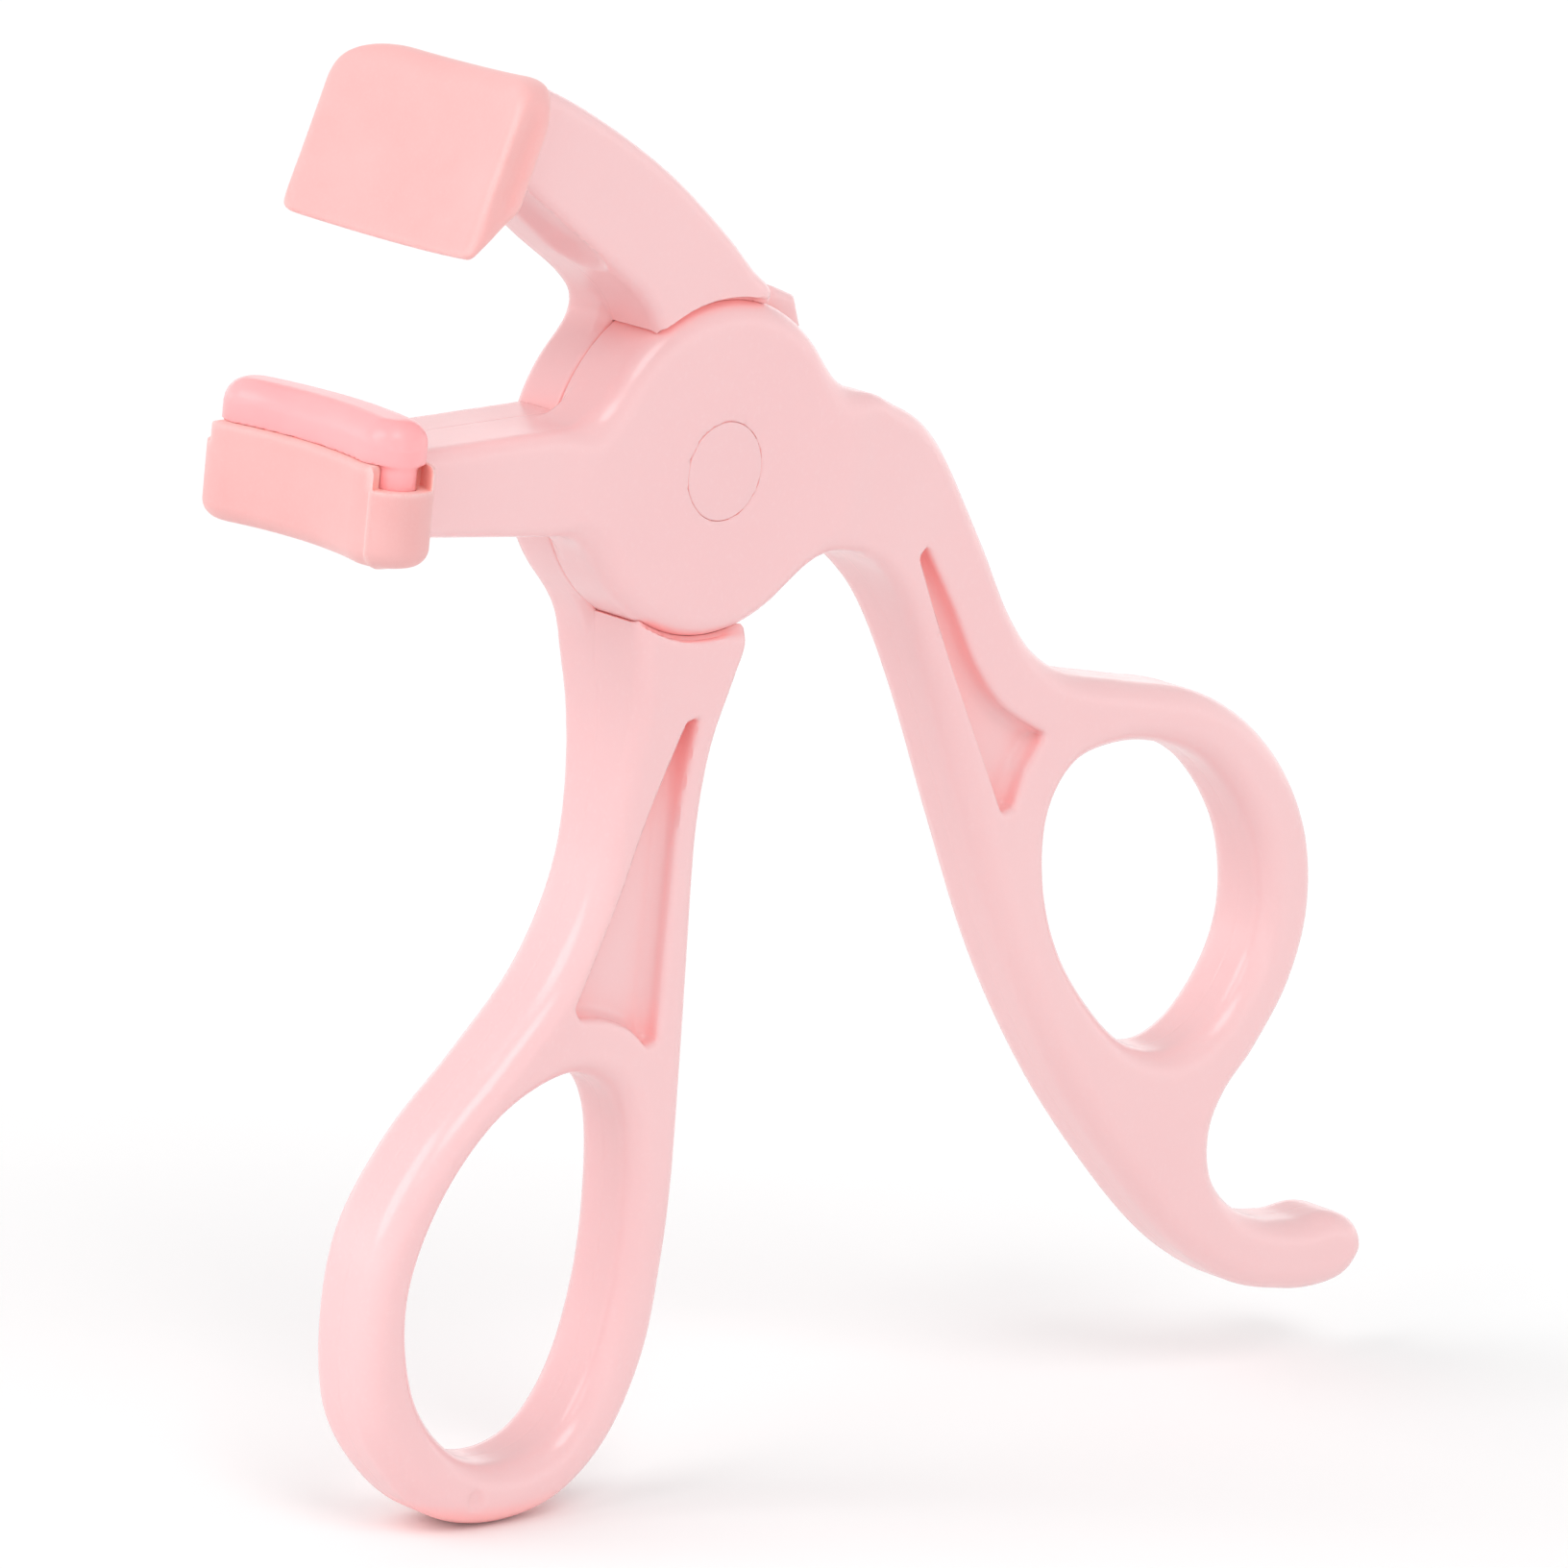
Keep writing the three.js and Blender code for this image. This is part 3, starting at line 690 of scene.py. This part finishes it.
def lever_plastic(name, colour):
    """Glossy moulded plastic: faint flow clouds in its colour, fine speckle, a moulding ripple and
    painted glow and shade in its creases.
    """
    made = Finish(name)
    clouds = made.noise(26, 2, 0.45, (1, 1.6, 0.7))
    deeper = tuple(c * k for c, k in zip(colour, (0.99, 0.955, 0.96)))
    grain = made.noise(0.35, 2, 0.5)
    speckle = tuple(c * k for c, k in zip(colour, (1.01, 1.05, 1.05)))
    tint = made.blended(made.scaled(clouds, 0.35, 0.65, 0, 1), colour, deeper)
    tint = made.blended(made.scaled(grain, 0.55, 0.75, 0, 0.35), tint, speckle)
    # painted shade and glow: creases and gaps turn to a deeper, redder pink by ambient occlusion
    made.put(made.shader.inputs["Base Color"], made.painted_crease_glow(tint, 3, LEVER_PAINTED_GLOW))
    made.sheen_of(0.19, 0.27, made.noise(6, 3, 0.55))
    made.bumps((made.noise(0.8, 2, 0.5), 0.0008))
    made.body(1.55, 0.2, 0.8)
    return made.material


def frosted_plastic(name, colour):
    """Spark-eroded surface: matt, with a fine even grain, a painted pale sheen on its convex edges and
    painted glow and shade in its creases.
    """
    made = Finish(name)
    clouds = made.noise(9, 3, 0.6)
    deeper = tuple(c * k for c, k in zip(colour, (0.99, 0.93, 0.93)))
    paler = tuple(min(1, c * k) for c, k in zip(colour, (1.02, 1.12, 1.12)))
    tint = made.blended(made.scaled(clouds, 0.35, 0.65, 0, 1), colour, deeper)
    tint = made.blended(made.scaled(made.noise(0.25, 2, 0.6), 0.5, 0.75, 0, 0.22), tint, paler)
    # painted sheen: every convex edge is paled, as if it caught more light
    painted_edge_sheen = tuple(min(1, c * k) for c, k in zip(colour, (1.04, 1.3, 1.3)))
    tint = made.blended(made.edges(0.8, 0.8, 0.99), tint, painted_edge_sheen)
    # painted shade and glow: creases and gaps turn to a deeper, redder pink by ambient occlusion
    made.put(made.shader.inputs["Base Color"], made.painted_crease_glow(tint, 2, FROSTED_PAINTED_GLOW))
    made.sheen_of(0.52, 0.66, made.noise(4, 3, 0.6))
    made.bumps((made.noise(0.3, 3, 0.6), 0.006))
    made.put(made.shader.inputs["Sheen Weight"], 0.25)
    made.put(made.shader.inputs["Sheen Roughness"], 0.45)
    made.body(1.48, 0.3, 1.0)
    return made.material


def silicone(name, colour):
    """Soft rubber: deeper pink, satin, with a faint bloom of dust, a very fine skin and painted glow and
    shade in its creases.
    """
    made = Finish(name)
    bloom = made.noise(6, 2, 0.5)
    dusty = tuple(c + (1 - c) * 0.12 for c in colour)
    tint = made.blended(made.scaled(bloom, 0.3, 0.75, 0, 0.5), colour, dusty)
    # painted shade and glow: creases and gaps turn to a deeper, redder pink by ambient occlusion
    made.put(made.shader.inputs["Base Color"], made.painted_crease_glow(tint, 2, PAD_PAINTED_GLOW))
    made.sheen_of(0.22, 0.27, made.noise(5, 2, 0.5))
    made.bumps((made.noise(0.25, 1, 0.4), 0.0004))
    made.body(1.45, 0.3, 1.0)
    return made.material


def floor_paint():
    made = Finish("pale_floor")
    tint = made.blended(made.noise(120, 2, 0.5), (0.93, 0.93, 0.93), (0.95, 0.95, 0.95))
    made.put(made.shader.inputs["Base Color"], tint)
    made.put(made.shader.inputs["Roughness"], 0.9)
    made.put(made.shader.inputs["Specular IOR Level"], 0.1)
    return made.material


# ---- pieces ------------------------------------------------------------------------------------------
# the glow colours are painted glow and shade, laid into creases and gaps by ambient occlusion
LEVER_PINK, LEVER_PAINTED_GLOW = (0.845, 0.54, 0.547), (1, 0.46, 0.45)
PIN_PINK = (0.835, 0.54, 0.547)
HEAD_PINK, HOLDER_PINK, FROSTED_PAINTED_GLOW = (0.83, 0.43, 0.42), (0.78, 0.425, 0.415), (1, 0.47, 0.41)
PAD_PINK, PAD_PAINTED_GLOW = (0.92, 0.385, 0.4), (1, 0.4, 0.41)
COARSE = 0.32
FINE = 0.16
SPLIT_ZONE = ((-0.24, 0.24, 0.08),)


def rim(radius, y, size, start):
    """A quarter turn of rounding about (radius, y), from the start angle, for a turned profile."""
    angles = [math.radians(start + 15 * k) for k in range(7)]
    return [(radius + size * math.cos(t), y + size * math.sin(t)) for t in angles]


def pin_profile():
    edge = 0.12
    head_end = HUB_FRONT + PIN_HEAD_DEPTH
    shank_end = HUB_BACK - CAP_THICKNESS - 0.3
    tip = shank_end + SPIGOT_LENGTH
    return (
        [(0, HUB_FRONT), (PIN_HEAD_RADIUS - 2.4, HUB_FRONT)]
        + rim(PIN_HEAD_RADIUS - edge, HUB_FRONT + edge, edge, -90)
        + [(PIN_HEAD_RADIUS, head_end - 0.05), (PIN_HEAD_RADIUS - 0.05, head_end)]
        + [(PIN_RADIUS + 0.05, head_end), (PIN_RADIUS, head_end + 0.05)]
        + [(PIN_RADIUS, shank_end - 0.1), (PIN_RADIUS - 0.1, shank_end)]
        + [(SPIGOT_RADIUS, shank_end), (SPIGOT_RADIUS, tip - 0.1), (SPIGOT_RADIUS - 0.1, tip), (0, tip)]
    )


def cap_profile():
    edge = 0.2
    front = HUB_BACK - CAP_THICKNESS
    socket = SPIGOT_RADIUS + 0.3
    floor = front + SPIGOT_LENGTH - 0.15
    return (
        [(0, floor), (socket - 0.05, floor), (socket, floor - 0.05), (socket, front)]
        + [(socket + 0.1, front)]
        + [(PIN_HEAD_RADIUS - 0.05, front), (PIN_HEAD_RADIUS, front + 0.05)]
        + rim(PIN_HEAD_RADIUS - edge, HUB_BACK - edge, edge, 0)
        + [(PIN_HEAD_RADIUS - 2.4, HUB_BACK), (0, HUB_BACK)]
    )


def fit(piece, node, body, material):
    """Gives the piece its material and body, and hides the CAD node that it stands for."""
    piece.data.materials.append(material)
    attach(piece, body)
    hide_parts(node)


fit(
    moulded("front_lever_moulding", front_lever, "front_lever", COARSE, SPLIT_ZONE),
    "front_lever", "front", lever_plastic("front_lever_plastic", LEVER_PINK),
)
fit(
    moulded("rear_lever_moulding", rear_lever, "rear_lever", COARSE, SPLIT_ZONE),
    "rear_lever", "rear", lever_plastic("rear_lever_plastic", LEVER_PINK),
)
fit(
    turned("pivot_pin_turning", pin_profile()),
    "pivot_pin", "front", lever_plastic("pin_plastic", PIN_PINK),
)
fit(
    turned("pivot_cap_turning", cap_profile()),
    "pivot_cap", "front", lever_plastic("cap_plastic", PIN_PINK),
)
fit(
    moulded("press_head_moulding", press_head, "upper_press_head", FINE),
    "upper_press_head", "rear", frosted_plastic("head_plastic", HEAD_PINK),
)
fit(
    moulded("pad_holder_moulding", pad_holder, "lower_pad_holder", FINE),
    "lower_pad_holder", "front", frosted_plastic("holder_plastic", HOLDER_PINK),
)
fit(
    moulded("silicone_pad_moulding", silicone_pad, "silicone_pad", FINE),
    "silicone_pad", "front", silicone("pad_silicone", PAD_PINK),
)


# ---- floor, light and camera -------------------------------------------------------------------------
def lay_floor(height):
    """A plain square, eight metres wide, at that height."""
    half = 4.0
    corners = [(x, y, height) for x, y in ((-half, -half), (half, -half), (half, half), (-half, half))]
    mesh = bpy.data.meshes.new("studio_floor")
    mesh.from_pydata(corners, [], [(0, 1, 2, 3)])
    floor = bpy.data.objects.new("studio_floor", mesh)
    bpy.context.scene.collection.objects.link(floor)
    floor.data.materials.append(floor_paint())


def soft_light(name, direction, spread, strength):
    """Even light from a direction, softened by its spread in degrees."""
    lamp = bpy.data.lights.new(name, "SUN")
    lamp.angle = math.radians(spread)
    lamp.energy = strength
    lit = bpy.data.objects.new(name, lamp)
    lit.rotation_euler = (-Vector(direction)).to_track_quat("-Z", "Y").to_euler()
    bpy.context.scene.collection.objects.link(lit)


def bright_surroundings(high, horizon, band):
    """A white studio that is brightest round the horizon, in a band of that height."""
    world = bpy.data.worlds.new("white_studio")
    world.use_nodes = True
    nodes, links = world.node_tree.nodes, world.node_tree.links
    direction = nodes.new("ShaderNodeTexCoord")
    parts = nodes.new("ShaderNodeSeparateXYZ")
    links.new(direction.outputs["Generated"], parts.inputs["Vector"])
    fade = nodes.new("ShaderNodeMapRange")
    fade.interpolation_type = "SMOOTHSTEP"
    for name, number in (("From Min", 0), ("From Max", band), ("To Min", horizon), ("To Max", high)):
        fade.inputs[name].default_value = number
    links.new(parts.outputs["Z"], fade.inputs["Value"])
    background = nodes["Background"]
    background.inputs["Color"].default_value = (1, 1, 1, 1)
    links.new(fade.outputs["Result"], background.inputs["Strength"])
    bpy.context.scene.world = world


def place_camera():
    """Looks from the front left and a little above, rolled a little clockwise."""
    away = 0.6
    yaw, elevation, roll = (math.radians(angle) for angle in (45.6, 12.7, 6))
    target = Vector((14.6, 0, -24.8)) * MM
    outward = math.cos(elevation)
    back = Vector((-math.sin(yaw) * outward, -math.cos(yaw) * outward, math.sin(elevation)))
    level = Vector((math.cos(yaw), -math.sin(yaw), 0))
    upright = back.cross(level)
    right = level * math.cos(roll) + upright * math.sin(roll)
    up = upright * math.cos(roll) - level * math.sin(roll)
    lens = bpy.data.cameras.new("photo_view")
    lens.sensor_width = 36
    lens.lens = 192.8
    lens.clip_start = 0.01
    camera = bpy.data.objects.new("photo_view", lens)
    turn = Matrix((right, up, back)).transposed()
    camera.matrix_world = Matrix.Translation(target + back * away) @ turn.to_4x4()
    bpy.context.scene.collection.objects.link(camera)
    bpy.context.scene.camera = camera


FLOOR_GAP = 0.0001
lay_floor(cad_box[0].z - FLOOR_GAP)
bright_surroundings(high=0.66, horizon=1.5, band=0.6)
soft_light("key_soft", (-0.28, -0.55, 0.79), 28, 0.6)
soft_light("side_soft", (-0.8, 0.15, 0.62), 40, 1.0)
place_camera()
bpy.context.scene.view_settings.view_transform = "Standard"
